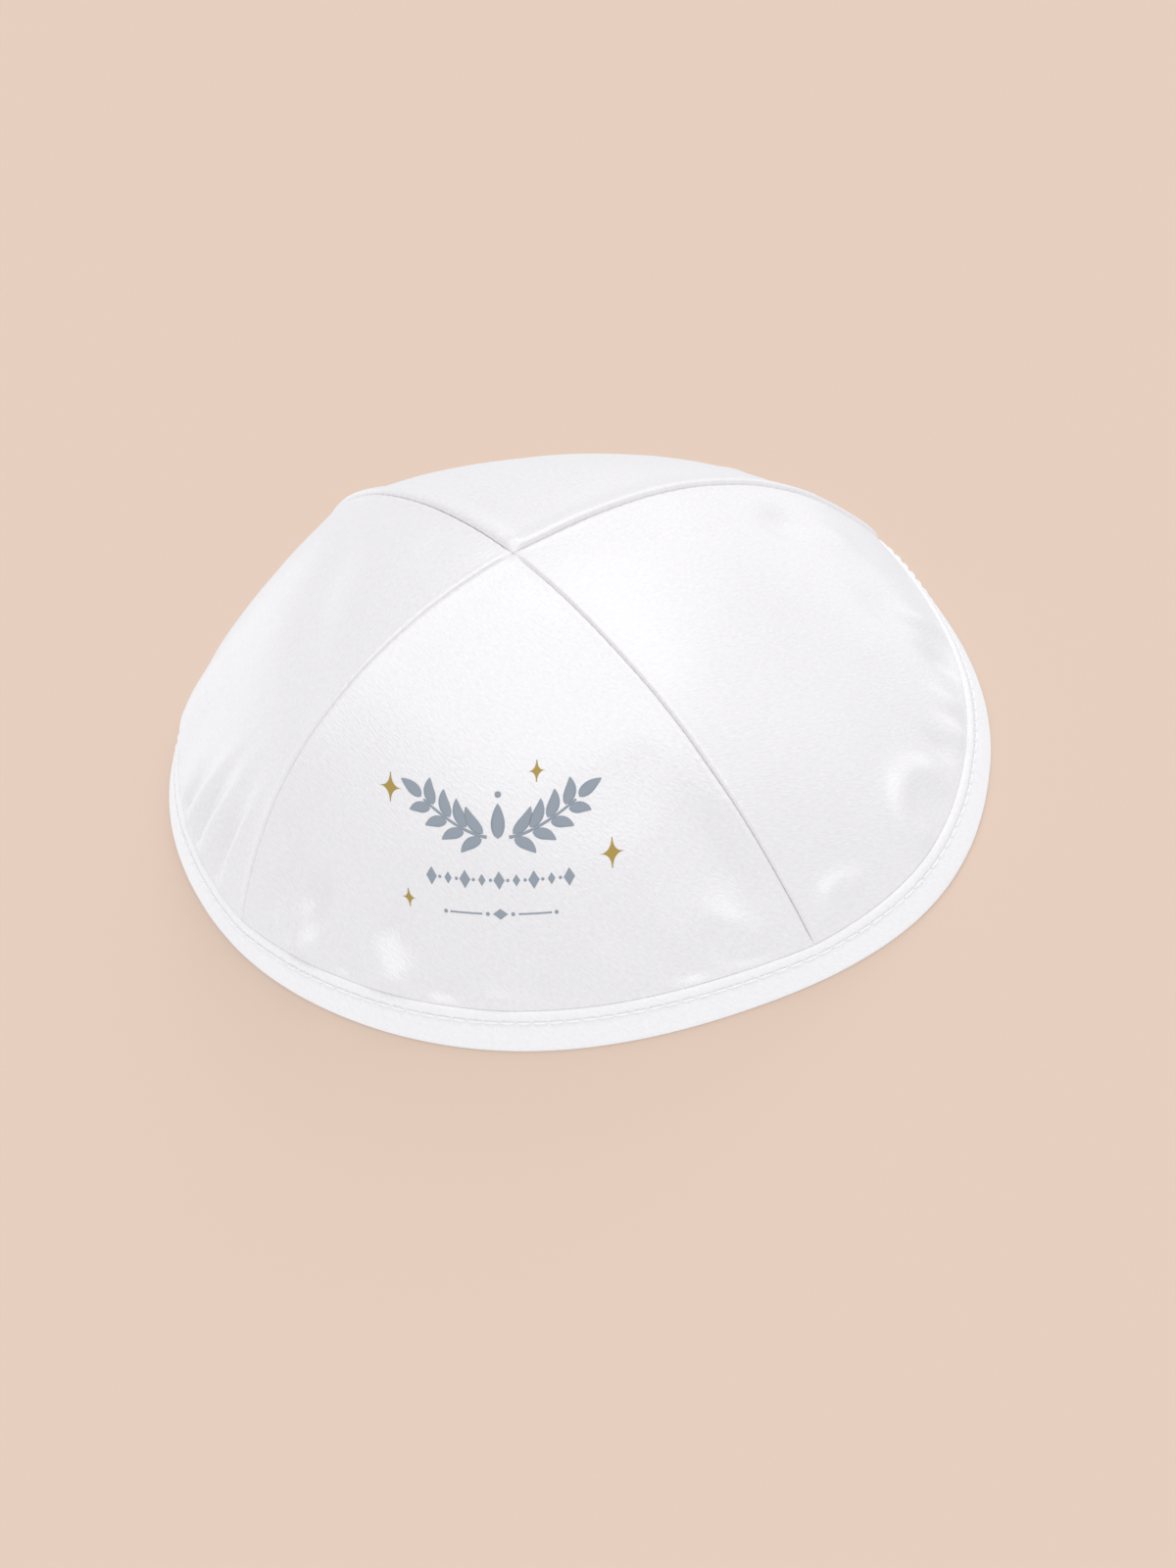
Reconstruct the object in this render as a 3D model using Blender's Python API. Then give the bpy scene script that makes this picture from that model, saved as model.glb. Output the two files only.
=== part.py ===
"""A skullcap of white satin: four panels sewn to a peak, and a folded satin band bound round the rim.

It rests on its rim at z = 0, with its front panel towards -Y. A place on a panel is given by two numbers:
across runs from -1 at the panel's left seam to 1 at its right seam, as seen from outside, and down runs
from 0 at the crown to 1 at the rim. Every wall is the outline of the cap, moved along its outward
direction by a lift.
"""

import math

import bpy
import numpy as np

MM = 0.001

# Form of the cap, outside the band
RIM_RADIUS = 85.0 * MM
CROWN_HEIGHT = 54.5 * MM
SIDE_TURN = math.radians(68.0)  # how far the side's arc turns between crown and rim
SIDE_FILL = -1.2 * MM  # half-way down the side, the cloth lies this far inside a true arc
SHOULDER_FILL = 0.6 * MM  # it stands this far out at the shoulder, and in above the rim
CROWN_LEAN = -5.0 * MM  # the soft crown sits this far to the left of the rim's middle
CROWN_SQUARE = 0.235  # seams stand out from the panels' middles by this share near the crown
RIM_SQUARE = 0.015  # and by this share at the rim

# Cloth and band
WALL = 1.2 * MM
BAND_WIDTH = 8.5 * MM
INNER_BAND_WIDTH = 8.0 * MM
BAND_PLY = 0.9 * MM
BAND_MARGIN = 1.0 * MM  # cloth that still lies low just above the band
SINK_RUN = 5.0 * MM  # over this run the cloth drops to pass under the band
EDGE_RISE = 2.8 * MM  # cut edge of the panels above the bottom of the fold
FOLD_FLAT = 1.6 * MM  # width of the fold that is pressed flat where the cap rests
FOLD_ROUND = 0.9 * MM  # height of the rounding on each side of that flat
FOLD_TUCK = 0.12 * MM  # the rounding draws in by this much
GAP = 0.3 * MM  # between neighbouring pieces

# Seams and dents
SEAM_DIP = 0.6 * MM
SEAM_TURN = 0.9 * MM  # width over which a panel turns down into its seam
SEAM_PUFF = 0.5 * MM  # the side that the seam allowance lies under stands this much proud
SEAM_ROLL = 2.6 * MM  # distance of that roll from the seam
ROLL_SPREAD = 1.8 * MM  # distance over which the roll falls away to each side
DENT_DEPTH = 0.9 * MM
FADE_RUN = 7.0 * MM  # dents and rolls fade out over this run above the band

# Facets
EDGE_COLUMNS = (0.0, 0.3, 0.8, 1.6)  # distances from a seam, as shares of SEAM_ROLL
EDGE_SQUEEZE = 0.1  # where a panel narrows, SEAM_ROLL counts there as this share of its width at most
MIDDLE_COLUMNS = 19
UPPER_ROWS = 14
SHARP_ANGLE = math.radians(50.0)

# Measuring, in shares of the way from crown to rim
SMALL_STEP = 0.002
NEAR_CROWN = 0.02  # the outward direction is taken no nearer the crown than this
ABOVE_RIM = (0.98, 0.90)  # the slope above the rim is measured between these two

# Plan of the rim: heading in degrees from +X towards +Y, and share of RIM_RADIUS
RIM_PLAN = (
    (0, 1.005),
    (30, 0.990),
    (60, 1.040),
    (90, 1.015),
    (120, 1.000),
    (150, 0.990),
    (180, 0.970),
    (210, 0.955),
    (240, 0.980),
    (270, 1.010),
    (300, 1.015),
    (330, 1.050),
)

# Seams: heading at the crown, swing of the heading by the rim, bow between (degrees), and the raised panel
SEAMS = {
    "front_left": (225.0, 0.5, 0.0, "front"),
    "front_right": (315.0, -1.5, -0.5, "right"),
    "back_right": (45.0, 2.0, 1.0, "back"),
    "back_left": (135.0, 1.5, 1.5, "back"),
}

# Panels: the seams at their left and right, seen from outside
PANELS = {
    "front": ("front_left", "front_right"),
    "right": ("front_right", "back_right"),
    "back": ("back_right", "back_left"),
    "left": ("back_left", "front_left"),
}

# Dents and folds: panel, across, down, length down the slope and width as shares of RIM_RADIUS,
# height as a share of DENT_DEPTH (below 0 is a hollow), and lean from the slope in degrees
DENTS = (
    ("front", -0.66, 0.82, 0.090, 0.062, 1.0, 15),
    ("front", -0.36, 0.85, 0.085, 0.062, 1.1, 0),
    ("front", -0.14, 0.86, 0.080, 0.062, -0.8, 0),
    ("front", 0.08, 0.87, 0.070, 0.060, 0.7, -15),
    ("front", 0.74, 0.80, 0.120, 0.062, 0.9, -60),
    ("front", 0.72, 0.66, 0.180, 0.100, -0.9, -20),
    ("front", -0.74, 0.63, 0.200, 0.110, -1.0, 18),
    ("front", 0.62, 0.47, 0.160, 0.100, 0.6, -20),
    ("right", -0.30, 0.80, 0.120, 0.110, 1.5, -30),
    ("right", -0.38, 0.88, 0.065, 0.065, -1.5, -30),
    ("right", -0.84, 0.82, 0.080, 0.080, 1.1, -20),
    ("right", 0.24, 0.82, 0.090, 0.065, 0.8, 25),
    ("right", 0.74, 0.52, 0.130, 0.080, -1.0, 10),
    ("right", 0.62, 0.66, 0.110, 0.075, 0.8, 15),
    ("left", 0.30, 0.80, 0.150, 0.062, 0.9, -12),
    ("left", 0.50, 0.82, 0.150, 0.062, -0.9, -12),
    ("left", 0.70, 0.79, 0.170, 0.062, 0.9, -8),
    ("left", -0.20, 0.78, 0.160, 0.075, 0.6, 10),
    ("back", -0.50, 0.82, 0.110, 0.065, 0.7, 10),
    ("back", 0.10, 0.85, 0.090, 0.065, -0.7, 0),
    ("back", 0.55, 0.80, 0.120, 0.065, 0.8, -10),
)

# Outer face of the band: place between the fold's rounding (0) and the band's top edge (1), and height
# over the cap's outline as a share of BAND_PLY. The stitched groove lies under the rolled top edge.
BAND_FACE = (
    (1.02, -0.60),
    (0.98, -0.05),
    (0.90, 0.28),
    (0.79, 0.20),
    (0.70, -0.35),
    (0.60, 0.05),
    (0.33, 0.12),
    (0.12, 0.02),
)

# Inner face of the band: height as a share of INNER_BAND_WIDTH, and depth of the face as a share of BAND_PLY
INNER_FACE = (
    (0.60, 0.00),
    (0.95, 0.15),
    (1.00, 0.60),
    (0.97, 1.00),
)

SATIN = (0.905, 0.905, 0.925, 1.0)
SATIN_ROUGHNESS = 0.42

# From the outline inwards: outer leg of the band, panel wall, inner leg of the band, with gaps between
SINK = BAND_PLY + GAP
STACK = 2 * SINK + WALL
TIP_RADIUS = GAP / math.sqrt(2.0)  # keeps the four tips a gap apart around the crown


def smooth_step(share):
    """0 below a share of 0, 1 above a share of 1, with level ends."""
    share = np.clip(share, 0.0, 1.0)
    return share * share * (3.0 - 2.0 * share)


def rim_share(heading):
    """Radius of the rim at a heading, as a share of RIM_RADIUS: a smooth closed curve through RIM_PLAN."""
    shares = np.array([share for _, share in RIM_PLAN])
    spacing = 360.0 / len(shares)
    place = np.degrees(heading) % 360.0 / spacing
    index = np.floor(place).astype(int)
    part = place - index
    before, at, after, beyond = (shares[(index + k) % len(shares)] for k in (-1, 0, 1, 2))
    return at + 0.5 * part * (
        after
        - before
        + part * (2 * before - 5 * at + 4 * after - beyond + part * (3 * (at - after) + beyond - before))
    )


def seam_heading(seam, down):
    """Heading of a seam in degrees, at a share of the way down it."""
    heading, swing, bow, _ = SEAMS[seam]
    return heading + swing * down + bow * 4.0 * down * (1.0 - down)


def panel_span(panel, down):
    """Headings of a panel's left and right seams, in radians."""
    left, right = (seam_heading(seam, down) for seam in PANELS[panel])
    right = np.where(right < left, right + 360.0, right)
    return np.radians(left), np.radians(right)


def heading_of(panel, across, down):
    left, right = panel_span(panel, down)
    return left + (right - left) * (across + 1.0) / 2.0


def squareness(across, down):
    """Factor on the radius that makes the seams ridges: strong near the crown, slight at the rim."""
    ridge = (1.0 / np.cos(across * math.pi / 4) - 1.0) / (math.sqrt(2.0) - 1.0)
    here = CROWN_SQUARE * (1.0 - down) + RIM_SQUARE * down
    return (1.0 + here * ridge) / (1.0 + RIM_SQUARE * ridge)


def side_arc(down):
    """Radius as a share of the rim's, height as a share of the crown's, and the extra fill along each."""
    turn = SIDE_TURN * down
    radius = np.sin(turn) / math.sin(SIDE_TURN)
    height = (np.cos(turn) - math.cos(SIDE_TURN)) / (1.0 - math.cos(SIDE_TURN))
    fill = SIDE_FILL * np.sin(math.pi * down) + SHOULDER_FILL * np.sin(2 * math.pi * down)
    return radius, height, fill * np.sin(turn), fill * np.cos(turn)


def plan_radius(heading, down):
    radius, _, outwards, _ = side_arc(down)
    return RIM_RADIUS * (1.0 + (rim_share(heading) - 1.0) * down) * radius + outwards


def dome(heading, down, factor=1.0):
    """Point of the cap's outline, with the radius times a factor."""
    _, height, _, upwards = side_arc(down)
    radius = plan_radius(heading, down) * factor
    rise = CROWN_HEIGHT * height + upwards
    lean = CROWN_LEAN * rise / CROWN_HEIGHT
    x = radius * np.cos(heading) + lean
    y = radius * np.sin(heading)
    return np.stack(np.broadcast_arrays(x, y, rise), axis=-1)


def outward(heading, down):
    """Outward direction of the cap without its ridges, so that two panels share it at their seam."""
    down = np.clip(down, NEAR_CROWN, 1.0 - SMALL_STEP)
    along = dome(heading + SMALL_STEP, down) - dome(heading - SMALL_STEP, down)
    below = dome(heading, down + SMALL_STEP) - dome(heading, down - SMALL_STEP)
    direction = np.cross(below, along)
    return direction / np.linalg.norm(direction, axis=-1, keepdims=True)


def outline(panel, across, down):
    return dome(heading_of(panel, across, down), down, squareness(across, down))


def lifted(panel, across, down, lift):
    """Point that lies a lift outside the cap's outline."""
    direction = outward(heading_of(panel, across, down), down)
    return outline(panel, across, down) + np.asarray(lift)[..., None] * direction


def slope_at_rim(panel, across):
    """Length of slope for a whole unit of down near the rim, and the slope's sine and cosine."""
    low, high = ABOVE_RIM
    slope = dome(heading_of(panel, across, high), high) - dome(heading_of(panel, across, low), low)
    direction = outward(heading_of(panel, across, low), low)
    sine = np.linalg.norm(direction[..., :2], axis=-1)
    return np.linalg.norm(slope, axis=-1) / (low - high), sine, direction[..., 2]


def down_at_rise(panel, across, rise):
    return 1.0 - rise / slope_at_rim(panel, across)[0]


def half_width(panel, down):
    """Distance from a panel's middle line to its seams, at one level."""
    left, right = panel_span(panel, down)
    return plan_radius((left + right) / 2.0, down) * (right - left) / 2.0


def side_length():
    """Length of the slope from crown to rim."""
    return RIM_RADIUS * SIDE_TURN / math.sin(SIDE_TURN) + abs(SIDE_FILL)


def seam_relief(panel, across, down):
    """Each panel turns down into its seams, and rolls up beside a seam whose allowance lies under it."""
    relief = 0.0
    for seam, edge in zip(PANELS[panel], (-1.0, 1.0)):
        distance = np.abs(across - edge) * half_width(panel, down)
        relief = relief - SEAM_DIP * np.exp(-((distance / SEAM_TURN) ** 2))
        if SEAMS[seam][3] == panel:
            relief = relief + SEAM_PUFF * np.exp(-(((distance - SEAM_ROLL) / ROLL_SPREAD) ** 2))
    return relief


def dent_relief(panel, across, down):
    """Sum of the soft dents and folds that DENTS lists for a panel."""
    relief = 0.0
    for name, dent_across, dent_down, length, width, height, lean in DENTS:
        if name != panel:
            continue
        beside = (across - dent_across) * half_width(panel, dent_down)
        below = (down - dent_down) * side_length()
        turn = math.radians(lean)
        along_fold = below * math.cos(turn) + beside * math.sin(turn)
        over_fold = beside * math.cos(turn) - below * math.sin(turn)
        away = (along_fold / (length * RIM_RADIUS)) ** 2 + (over_fold / (width * RIM_RADIUS)) ** 2
        relief = relief + height * DENT_DEPTH * np.exp(-away)
    return relief


def cloth_lift(panel, across, down):
    """Lift of a panel's outer face: relief above the band, and a drop to pass under the band."""
    rise = (1.0 - down) * slope_at_rim(panel, across)[0]
    above = rise - BAND_WIDTH - BAND_MARGIN
    relief = seam_relief(panel, across, down) + dent_relief(panel, across, down)
    return relief * smooth_step(above / FADE_RUN) - SINK * (1.0 - smooth_step(above / SINK_RUN))


def columns(width, edge_shares):
    """Places across a panel, from -1 to 1: close together beside the seams, even between them."""
    edge = np.array(edge_shares) * min(SEAM_ROLL, EDGE_SQUEEZE * width)
    middle = np.linspace(edge[-1], width - edge[-1], MIDDLE_COLUMNS + 2)[1:-1]
    places = np.concatenate([edge, middle, width - edge[::-1]])
    return places * 2.0 / width - 1.0


def tip_down():
    """Share of the way down at which a panel's tip starts, so that the four tips stay apart."""
    return TIP_RADIUS * math.sin(SIDE_TURN) / (RIM_RADIUS * SIDE_TURN)


def panel_rows(panel, across):
    """Shares of the way down for a panel's rows below its tip: rows seated in the band, then even ones."""
    low_cloth = BAND_WIDTH + BAND_MARGIN
    rises = (
        low_cloth + SINK_RUN,
        low_cloth + SINK_RUN / 2.0,
        low_cloth,
        (EDGE_RISE + BAND_WIDTH) / 2.0,
        EDGE_RISE,
    )
    seated = [down_at_rise(panel, across, rise) for rise in rises]
    start = tip_down()
    upper = [start + (seated[0] - start) * k / UPPER_ROWS for k in range(1, UPPER_ROWS)]
    return upper + seated


def make_object(name, points, faces, material, location):
    mesh = bpy.data.meshes.new(name)
    mesh.from_pydata([tuple(point) for point in points], [], faces)
    mesh.shade_smooth()
    mesh.set_sharp_from_angle(angle=SHARP_ANGLE)
    mesh.materials.append(material)
    made = bpy.data.objects.new(name, mesh)
    made.location = location
    bpy.context.scene.collection.objects.link(made)


def make_material(name):
    material = bpy.data.materials.new(name)
    material.use_nodes = True
    shader = material.node_tree.nodes["Principled BSDF"]
    shader.inputs["Base Color"].default_value = SATIN
    shader.inputs["Roughness"].default_value = SATIN_ROUGHNESS
    shader.inputs["Metallic"].default_value = 0.0
    material.diffuse_color = SATIN
    return material


def panel_grid(panel):
    """Rows of (across, down) for one panel below its tip, kept half a gap back from each seam."""
    grid = []
    for k, level in enumerate(panel_rows(panel, 0.0)):
        width = 2.0 * half_width(panel, level)
        across = columns(width - GAP, EDGE_COLUMNS) * (1.0 - GAP / width)
        grid.append((across, panel_rows(panel, across)[k]))
    return grid


def make_panel(panel):
    """One panel of cloth, from its tip at the crown to its cut edge inside the band."""
    grid = panel_grid(panel)
    row_count = len(grid)
    row_length = len(grid[0][0])
    tip = (np.zeros(1), np.full(1, tip_down()))
    sides = []
    for depth in (0.0, WALL):
        for across, down in [tip, *grid]:
            sides.append(lifted(panel, across, down, cloth_lift(panel, across, down) - depth))
    inside = 1 + row_count * row_length

    def vertex(row, column):
        return 1 + row * row_length + column

    outer = [(0, vertex(0, k), vertex(0, k + 1)) for k in range(row_length - 1)]
    for row in range(row_count - 1):
        for k in range(row_length - 1):
            outer.append((vertex(row, k), vertex(row + 1, k), vertex(row + 1, k + 1), vertex(row, k + 1)))
    inner = [tuple(inside + corner for corner in reversed(face)) for face in outer]
    left = [vertex(row, 0) for row in range(row_count)]
    bottom = [vertex(row_count - 1, k) for k in range(1, row_length - 1)]
    right = [vertex(row, row_length - 1) for row in reversed(range(row_count))]
    border = [0, *left, *bottom, *right, 0]
    walls = [(a, a + inside, b + inside, b) for a, b in zip(border, border[1:])]
    return np.concatenate(sides), outer + inner + walls


def band_section(panel, across):
    """Closed section of the band at one place on the rim, from the outer leg's top inner corner round
    the outside, under the fold, up the inside and back down the channel that holds the cloth."""
    _, sine, cosine = slope_at_rim(panel, across)

    def rise_at(height, lift):
        return (height - lift * cosine) / sine

    def point(rise, lift):
        return lifted(panel, across, down_at_rise(panel, across, rise), lift)

    face_width = BAND_WIDTH - FOLD_ROUND
    floor = EDGE_RISE - GAP
    section = [point(BAND_WIDTH, -BAND_PLY)]
    section += [point(FOLD_ROUND + face_width * place, BAND_PLY * proud) for place, proud in BAND_FACE]
    for height, lift in (
        (FOLD_ROUND, -FOLD_TUCK),
        (0.0, (FOLD_FLAT - STACK) / 2.0),
        (0.0, (-FOLD_FLAT - STACK) / 2.0),
        (FOLD_ROUND, FOLD_TUCK - STACK),
    ):
        at_height = point(rise_at(height, lift), lift)
        at_height[2] = height
        section.append(at_height)
    section += [point(INNER_BAND_WIDTH * height, BAND_PLY * depth - STACK) for height, depth in INNER_FACE]
    section += [point(floor, BAND_PLY - STACK), point(floor, -BAND_PLY)]
    return section


def make_band():
    """The folded band, a closed ring with the panels' cut edges in its channel."""
    sections = []
    for panel in PANELS:
        width = 2.0 * half_width(panel, 1.0)
        for across in columns(width, EDGE_COLUMNS[:: len(EDGE_COLUMNS) - 1])[:-1]:
            sections.append(band_section(panel, across))
    size = len(sections[0])
    faces = []
    for k in range(len(sections)):
        here, there = k * size, (k + 1) % len(sections) * size
        for corner in range(size):
            after = (corner + 1) % size
            faces.append((here + corner, here + after, there + after, there + corner))
    return np.concatenate(sections), faces


def main():
    for old in list(bpy.data.objects):
        bpy.data.objects.remove(old)
    shapes = {f"panel_{panel}": make_panel(panel) for panel in PANELS}
    shapes["rim_band"] = make_band()
    every_point = np.concatenate([points for points, _ in shapes.values()])
    middle = (every_point.min(axis=0) + every_point.max(axis=0)) / 2.0
    for name, (points, faces) in shapes.items():
        make_object(name, points, faces, make_material(f"satin_{name}"), (-middle[0], -middle[1], 0.0))


main()
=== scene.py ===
"""Looks of a white satin skullcap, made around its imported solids.

The cloth follows the same rule as the solids do: a place on a panel is across (-1 at its left seam, 1 at
its right) and down (0 at the crown, 1 at the rim), and a wall is the cap's outline moved by a lift along
its outward direction. Here that surface is fine enough for the folds, puckers and stitches of real satin.
"""

import math

import bpy
import numpy as np
from mathutils import Matrix, Vector, noise


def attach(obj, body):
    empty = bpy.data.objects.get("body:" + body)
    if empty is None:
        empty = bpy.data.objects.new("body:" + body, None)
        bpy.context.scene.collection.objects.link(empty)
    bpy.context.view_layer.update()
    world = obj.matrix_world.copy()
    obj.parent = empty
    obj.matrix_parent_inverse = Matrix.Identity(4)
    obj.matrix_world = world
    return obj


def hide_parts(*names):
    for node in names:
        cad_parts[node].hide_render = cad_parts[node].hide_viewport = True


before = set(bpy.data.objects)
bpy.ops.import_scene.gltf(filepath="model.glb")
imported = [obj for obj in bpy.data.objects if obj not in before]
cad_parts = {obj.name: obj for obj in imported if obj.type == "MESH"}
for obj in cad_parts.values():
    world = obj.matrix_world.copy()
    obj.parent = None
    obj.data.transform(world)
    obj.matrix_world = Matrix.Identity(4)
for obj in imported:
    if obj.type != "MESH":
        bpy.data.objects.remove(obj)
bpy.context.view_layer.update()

MM = 0.001

# Form of the cap, outside the band, as its solids have it
RIM_RADIUS = 85.0 * MM
CROWN_HEIGHT = 54.5 * MM
SIDE_TURN = math.radians(68.0)
SIDE_FILL = -1.2 * MM
SHOULDER_FILL = 0.6 * MM
CROWN_LEAN = -5.0 * MM
CROWN_SQUARE = 0.235
RIM_SQUARE = 0.015

# Cloth and band
WALL = 1.2 * MM
BAND_WIDTH = 8.5 * MM
BAND_PLY = 0.9 * MM
EDGE_RISE = 2.8 * MM  # a panel's cut edge lies this far up in the band
FOLD_ROUND = 0.9 * MM
GAP = 0.3 * MM
SEWN_GAP = 0.03 * MM  # sewn edges meet, and keep only this between their meshes
SINK = BAND_PLY + GAP  # the cloth lies this far below the band's outer face
STACK = 2 * SINK + WALL
# The cloth drops under the band over SINK_RUN, which starts BAND_MARGIN above the band's edge
BAND_MARGIN = -0.25 * MM
SINK_RUN = 0.45 * MM

# Seams
SEAM_DIP = 0.5 * MM
CROWN_DIP = 0.3  # share of the dip left at the crown
SEAM_TURN = 0.26 * MM
SEAM_LIP = 0.10 * MM
LIP_PLACE = 1.0 * MM
LIP_SPREAD = 0.5 * MM
SEAM_PUFF = 0.5 * MM
SEAM_ROLL = 1.6 * MM
ROLL_SPREAD = 2.2 * MM
ALLOWANCE = 5.2 * MM  # the seam allowance under the raised side ends this far from the seam
ALLOWANCE_STEP = 0.12 * MM  # and presses the cloth out by this much
STEP_SPREAD = 0.9 * MM
STEP_FROM = 0.35  # from this far down, below the flatter crown
STEP_RUN = 0.2  # and fully after this share more
CROWN_PINCH = 3.0 * MM  # half width of a panel below which its seams' turns and rolls die away
SEAM_STITCH = 2.5 * MM  # pitch of the needle's holes along a seam
SEAM_PUCKER = 0.09 * MM
SEAM_REACH = 0.9 * MM

# Soft unevenness of the cloth
DENT_DEPTH = 1.2 * MM
FADE_RUN = 3.0 * MM  # relief fades in over this run above the band
SLACK_SIZE = 24.0 * MM
SLACK = 0.45 * MM
RIPPLE_SIZE = 9.0 * MM
RIPPLE = 0.10 * MM
GATHER_SIZE = 5.0 * MM  # width of one gather above the band
GATHER_RUN = 13.0 * MM  # gathers fade out over this run up the slope
GATHER = 0.22 * MM
SEAM_HOLD = 7.0 * MM  # seams hold the cloth in shape: dents fade out over this run beside them
ARCH_END = 1.3  # an arched fold ends at this share of its reach
ARCH_FADE = 0.6  # and fades out over this share of it

# Stitches of the band
BAND_STITCH = 3.2 * MM
STITCH_RISE = 6.2 * MM
STITCH_SHOWN = 0.78  # share of the pitch that the thread shows
THREAD = 0.38 * MM
THREAD_LIFT = 0.07 * MM
THREAD_ARCH = 0.5 * MM
BAND_HOLE = 0.2 * MM
BAND_REACH = 0.45 * MM
UNSEWN = 9.0 * MM  # beyond the needle's reach: added to the distance where no stitch may pull

# Unevenness of the band: puckers slant below the stitches, and its edge is scalloped above them
BAND_PUFF = 0.06 * MM
SCALLOP_ABOVE = 0.9 * MM
SCALLOP_SPREAD = 0.6 * MM
PUCKER_BELOW = 1.2 * MM
PUCKER_SPREAD = 0.9 * MM
PUCKER_SLANT = 4.0 * MM  # rise over which a pucker leans by one stitch
BAND_SLACK_SIZE = 7.0 * MM
BAND_SLACK = 0.08 * MM
FLOOR_GAP = 0.01 * MM

# Mesh steps
CLOTH_STEP = 0.9 * MM
ROW_STEP = 0.5 * MM
UNDER_ROWS = (EDGE_RISE, 4.5 * MM, 6.0 * MM, 7.2 * MM)
DROP_ROWS = (BAND_WIDTH - 1.0 * MM, BAND_WIDTH + 2.4 * MM)
DROP_STEP = 0.12 * MM
TIP = 0.06 * MM  # a panel ends this far from the crown point
EDGE_RUN = 2.5 * SEAM_ROLL  # columns are close over this run beside a seam
EDGE_STEP = 0.1 * MM
EDGE_GROWTH = 0.16
EDGE_PARTS = 5.0  # in a narrow row they take up one part of this many of its width
BAND_STEP = 0.45 * MM
SECTION_STEPS = 3
SMALL_STEP = 0.002  # of down and of heading, over which outward directions are measured
NEAR_CROWN = 0.02  # and they are measured no further up than this
ABOVE_RIM = (0.98, 0.90)  # levels between which the slope above the rim is measured

# Plan of the rim: heading in degrees from +X towards +Y, and share of RIM_RADIUS
RIM_PLAN = (
    (0, 1.005),
    (30, 0.990),
    (60, 1.040),
    (90, 1.015),
    (120, 1.000),
    (150, 0.990),
    (180, 0.970),
    (210, 0.955),
    (240, 0.980),
    (270, 1.010),
    (300, 1.015),
    (330, 1.050),
)

# Seams: heading at the crown, swing of the heading by the rim, bow between (degrees), the panel with the
# allowances under it, and there the height of its roll (share of SEAM_PUFF) and of the step at their edge
SEAMS = {
    "front_left": (225.0, 0.5, 0.0, "front", 0.4, 0.2),
    "front_right": (315.0, -1.5, -0.5, "right", 0.2, 1.0),
    "back_right": (45.0, 2.0, 1.0, "back", 1.5, 0.0),
    "back_left": (135.0, 1.5, 1.5, "back", 1.5, 0.0),
}

# Panels: the seams at their left and right, seen from outside
PANELS = {
    "front": ("front_left", "front_right"),
    "right": ("front_right", "back_right"),
    "back": ("back_right", "back_left"),
    "left": ("back_left", "front_left"),
}

# Dents and folds: panel, across, down, length down the slope and width as shares of RIM_RADIUS,
# height as a share of DENT_DEPTH (below 0 is a hollow), and lean from the slope in degrees
DENTS = (
    ("front", -0.86, 0.89, 0.050, 0.035, 0.8, 20),
    ("front", -0.72, 0.78, 0.086, 0.052, -2.5, 2),
    ("front", -0.71, 0.90, 0.086, 0.050, 2.5, 2),
    ("front", -0.54, 0.89, 0.075, 0.040, -0.8, 3),
    ("front", -0.36, 0.785, 0.090, 0.065, -2.0, 0),
    ("front", -0.37, 0.91, 0.090, 0.062, 2.2, 0),
    ("front", -0.18, 0.88, 0.085, 0.050, -1.0, 0),
    ("front", -0.01, 0.92, 0.045, 0.050, 1.1, 0),
    ("front", 0.12, 0.86, 0.060, 0.050, -0.9, -10),
    ("front", 0.36, 0.88, 0.080, 0.050, 0.7, 0),
    ("front", 0.62, 0.89, 0.060, 0.055, -0.8, 0),
    ("front", 0.87, 0.88, 0.110, 0.036, 0.8, 40),
    ("front", 0.76, 0.88, 0.100, 0.040, -0.7, 40),
    ("front", 0.84, 0.75, 0.120, 0.070, -0.4, -55),
    ("front", 0.88, 0.89, 0.045, 0.035, -0.9, 0),
    ("front", 0.84, 0.68, 0.150, 0.090, -1.5, -25),
    ("front", 0.70, 0.44, 0.170, 0.070, 0.5, -70),
    ("front", -0.88, 0.75, 0.140, 0.090, -2.6, 12),
    ("right", -0.14, 0.86, 0.045, 0.030, -0.8, 0),
    ("right", -0.04, 0.90, 0.055, 0.030, 1.3, 10),
    ("right", 0.08, 0.88, 0.055, 0.030, 1.0, 10),
    ("right", 0.29, 0.865, 0.060, 0.045, -1.2, 10),
    ("right", 0.44, 0.83, 0.085, 0.034, 1.0, 15),
    ("right", 0.38, 0.73, 0.100, 0.060, -0.7, 10),
    ("right", 0.74, 0.53, 0.065, 0.055, -1.2, 0),
    ("right", 0.72, 0.66, 0.080, 0.060, 0.6, 10),
    ("left", 0.10, 0.40, 0.300, 0.095, -0.9, 85),
    ("left", -0.36, 0.22, 0.090, 0.060, 0.5, 60),
    ("left", 0.38, 0.87, 0.130, 0.038, -1.0, -12),
    ("left", 0.48, 0.84, 0.170, 0.038, 1.1, -12),
    ("left", 0.57, 0.86, 0.140, 0.030, -1.0, -10),
    ("left", 0.67, 0.83, 0.170, 0.037, 1.2, -8),
    ("left", 0.77, 0.83, 0.140, 0.029, -1.0, -6),
    ("left", 0.86, 0.82, 0.140, 0.029, 1.0, -4),
    ("left", -0.05, 0.86, 0.170, 0.110, 1.2, 5),
    ("back", -0.50, 0.82, 0.110, 0.055, 0.8, 10),
    ("back", 0.10, 0.85, 0.090, 0.055, -0.8, 0),
    ("back", 0.55, 0.80, 0.120, 0.055, 0.9, -10),
)

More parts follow.
